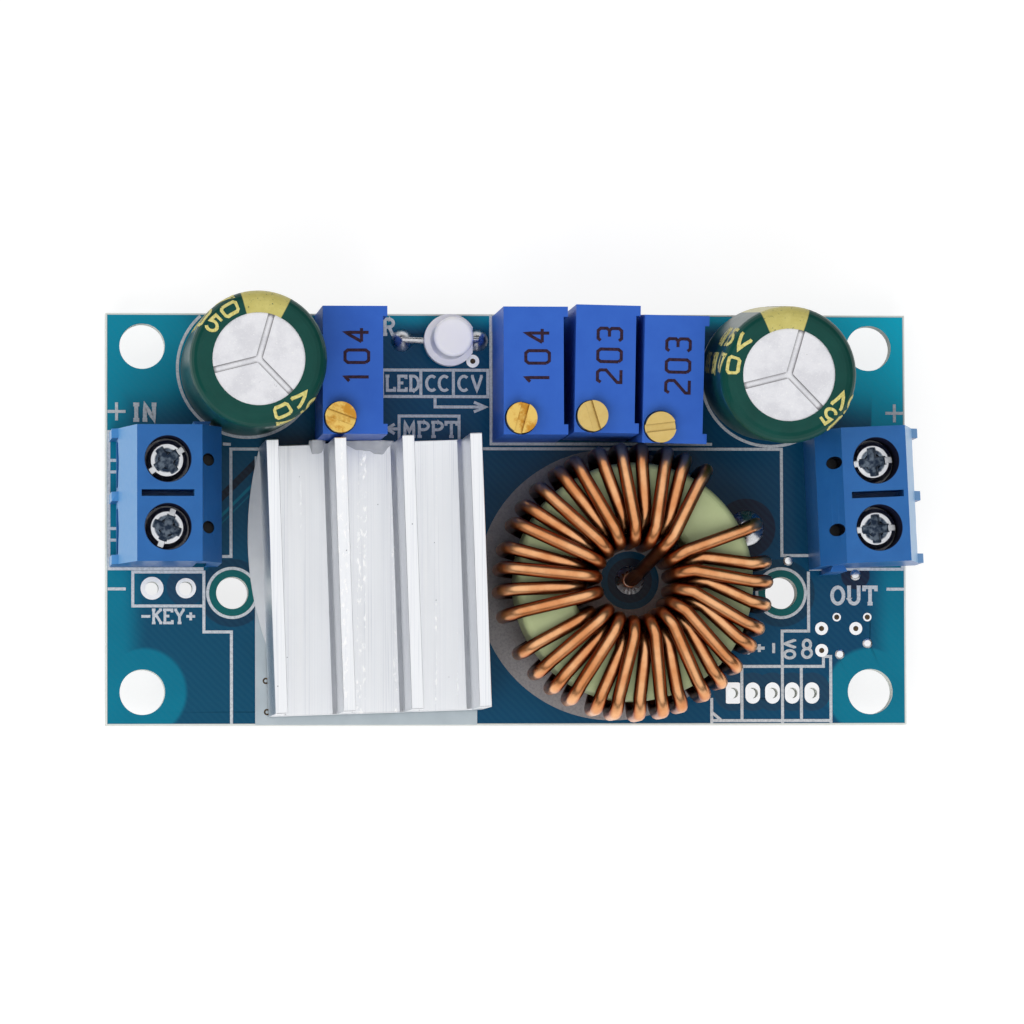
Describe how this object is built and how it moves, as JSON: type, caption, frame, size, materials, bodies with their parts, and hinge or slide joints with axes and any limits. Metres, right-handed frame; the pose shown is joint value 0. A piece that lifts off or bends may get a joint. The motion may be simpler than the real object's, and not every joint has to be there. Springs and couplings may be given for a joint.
{
  "type": "mppt charge controller",
  "caption": "Bare-board solar charge controller: step-down converter with screw terminals, finned heatsink, toroid inductor, electrolytic capacitors and multi-turn trimmers.",
  "frame": {"origin": "centre of the four corner holes, on the board's underside", "axes": "+X along the board from the input to the output terminal, +Y towards the row of trimmers, +Z out of the component side"},
  "size_m": [0.0612, 0.0318, 0.021],
  "materials": {
    "board_laminate": "glossy solder mask",
    "terminal_plastic": "satin moulding",
    "clamp_steel": "plated",
    "screw_steel": "bright plated",
    "can_aluminium": "bright drawn",
    "sleeve_film": "glossy shrink film",
    "bung_rubber": "matt",
    "trimmer_plastic": "satin moulding",
    "trimmer_brass": "turned",
    "tinned_lead": "tinned, bright",
    "lens_plastic": "milky",
    "heatsink_aluminium": "extruded, satin",
    "adhesive": "matt",
    "core_powder": "painted, satin",
    "winding_copper": "enamelled, glossy",
    "package_plastic": "moulded, matt",
    "resistor_ceramic": "glazed",
    "capacitor_ceramic": "ceramic"
  },
  "bodies": {
    "board": {"circuit_board": "board_laminate", "input_terminal_housing": "terminal_plastic", "output_terminal_housing": "terminal_plastic", "input_terminal_clamps": "clamp_steel", "output_terminal_clamps": "clamp_steel", "input_capacitor_can": "can_aluminium", "input_capacitor_sleeve": "sleeve_film", "input_capacitor_bung": "bung_rubber", "input_capacitor_leads": "tinned_lead", "output_capacitor_can": "can_aluminium", "output_capacitor_sleeve": "sleeve_film", "output_capacitor_bung": "bung_rubber", "output_capacitor_leads": "tinned_lead", "mppt_trimmer_housing": "trimmer_plastic", "lamp_trimmer_housing": "trimmer_plastic", "current_trimmer_housing": "trimmer_plastic", "voltage_trimmer_housing": "trimmer_plastic", "mppt_trimmer_pins": "tinned_lead", "lamp_trimmer_pins": "tinned_lead", "current_trimmer_pins": "tinned_lead", "voltage_trimmer_pins": "tinned_lead", "indicator_lens": "lens_plastic", "indicator_leads": "tinned_lead", "heatsink": "heatsink_aluminium", "heatsink_adhesive": "adhesive", "inductor_core": "core_powder", "inductor_winding": "winding_copper", "inductor_solder": "tinned_lead", "regulator_body": "package_plastic", "regulator_tab": "tinned_lead", "diode_body": "package_plastic", "diode_straps": "tinned_lead", "opamp_body": "package_plastic", "opamp_legs": "tinned_lead", "reference_body": "package_plastic", "reference_legs": "tinned_lead", "shunt_resistor": "resistor_ceramic", "chip_resistors": "resistor_ceramic", "chip_capacitors": "capacitor_ceramic"},
    "input_positive_plate": {"input_positive_plate": "clamp_steel"},
    "input_positive_screw": {"input_positive_screw": "screw_steel"},
    "input_negative_plate": {"input_negative_plate": "clamp_steel"},
    "input_negative_screw": {"input_negative_screw": "screw_steel"},
    "output_positive_plate": {"output_positive_plate": "clamp_steel"},
    "output_positive_screw": {"output_positive_screw": "screw_steel"},
    "output_negative_plate": {"output_negative_plate": "clamp_steel"},
    "output_negative_screw": {"output_negative_screw": "screw_steel"},
    "mppt_trimmer_screw": {"mppt_trimmer_screw": "trimmer_brass"},
    "lamp_trimmer_screw": {"lamp_trimmer_screw": "trimmer_brass"},
    "current_trimmer_screw": {"current_trimmer_screw": "trimmer_brass"},
    "voltage_trimmer_screw": {"voltage_trimmer_screw": "trimmer_brass"}
  },
  "joints": [
    {"name": "input_positive_plate_slide", "type": "slide", "parent": "board", "child": "input_positive_plate", "axis": [0, 0, 1], "range_m": [-0.00025, 0.0015]},
    {"name": "input_positive_screw_turn", "type": "hinge", "parent": "input_positive_plate", "child": "input_positive_screw", "pos_m": [-0.02598, 0.00395, 0.008], "axis": [0, 0, 1], "continuous": true},
    {"name": "input_negative_plate_slide", "type": "slide", "parent": "board", "child": "input_negative_plate", "axis": [0, 0, 1], "range_m": [-0.00025, 0.0015]},
    {"name": "input_negative_screw_turn", "type": "hinge", "parent": "input_negative_plate", "child": "input_negative_screw", "pos_m": [-0.02598, -0.00105, 0.008], "axis": [0, 0, 1], "continuous": true},
    {"name": "output_positive_plate_slide", "type": "slide", "parent": "board", "child": "output_positive_plate", "axis": [0, 0, 1], "range_m": [-0.00025, 0.0015]},
    {"name": "output_positive_screw_turn", "type": "hinge", "parent": "output_positive_plate", "child": "output_positive_screw", "pos_m": [0.02667, 0.00392, 0.008], "axis": [0, 0, 1], "continuous": true},
    {"name": "output_negative_plate_slide", "type": "slide", "parent": "board", "child": "output_negative_plate", "axis": [0, 0, 1], "range_m": [-0.00025, 0.0015]},
    {"name": "output_negative_screw_turn", "type": "hinge", "parent": "output_negative_plate", "child": "output_negative_screw", "pos_m": [0.02689, -0.00108, 0.008], "axis": [0, 0, 1], "continuous": true},
    {"name": "mppt_trimmer_turn", "type": "hinge", "parent": "board", "child": "mppt_trimmer_screw", "pos_m": [-0.01326, 0.00701, 0.0116], "axis": [0, 0, 1], "continuous": true},
    {"name": "lamp_trimmer_turn", "type": "hinge", "parent": "board", "child": "lamp_trimmer_screw", "pos_m": [0.00016, 0.007, 0.0116], "axis": [0, 0, 1], "continuous": true},
    {"name": "current_trimmer_turn", "type": "hinge", "parent": "board", "child": "current_trimmer_screw", "pos_m": [0.00543, 0.00715, 0.0116], "axis": [0, 0, 1], "continuous": true},
    {"name": "voltage_trimmer_turn", "type": "hinge", "parent": "board", "child": "voltage_trimmer_screw", "pos_m": [0.01049, 0.00637, 0.01167], "axis": [0, -0.0732, 0.9973], "continuous": true}
  ],
  "couplings": [
    {"joint": "input_positive_screw_turn", "follows": "input_positive_plate_slide", "rad_per_m": 12566},
    {"joint": "input_negative_screw_turn", "follows": "input_negative_plate_slide", "rad_per_m": 12566},
    {"joint": "output_positive_screw_turn", "follows": "output_positive_plate_slide", "rad_per_m": 12566},
    {"joint": "output_negative_screw_turn", "follows": "output_negative_plate_slide", "rad_per_m": 12566}
  ]
}
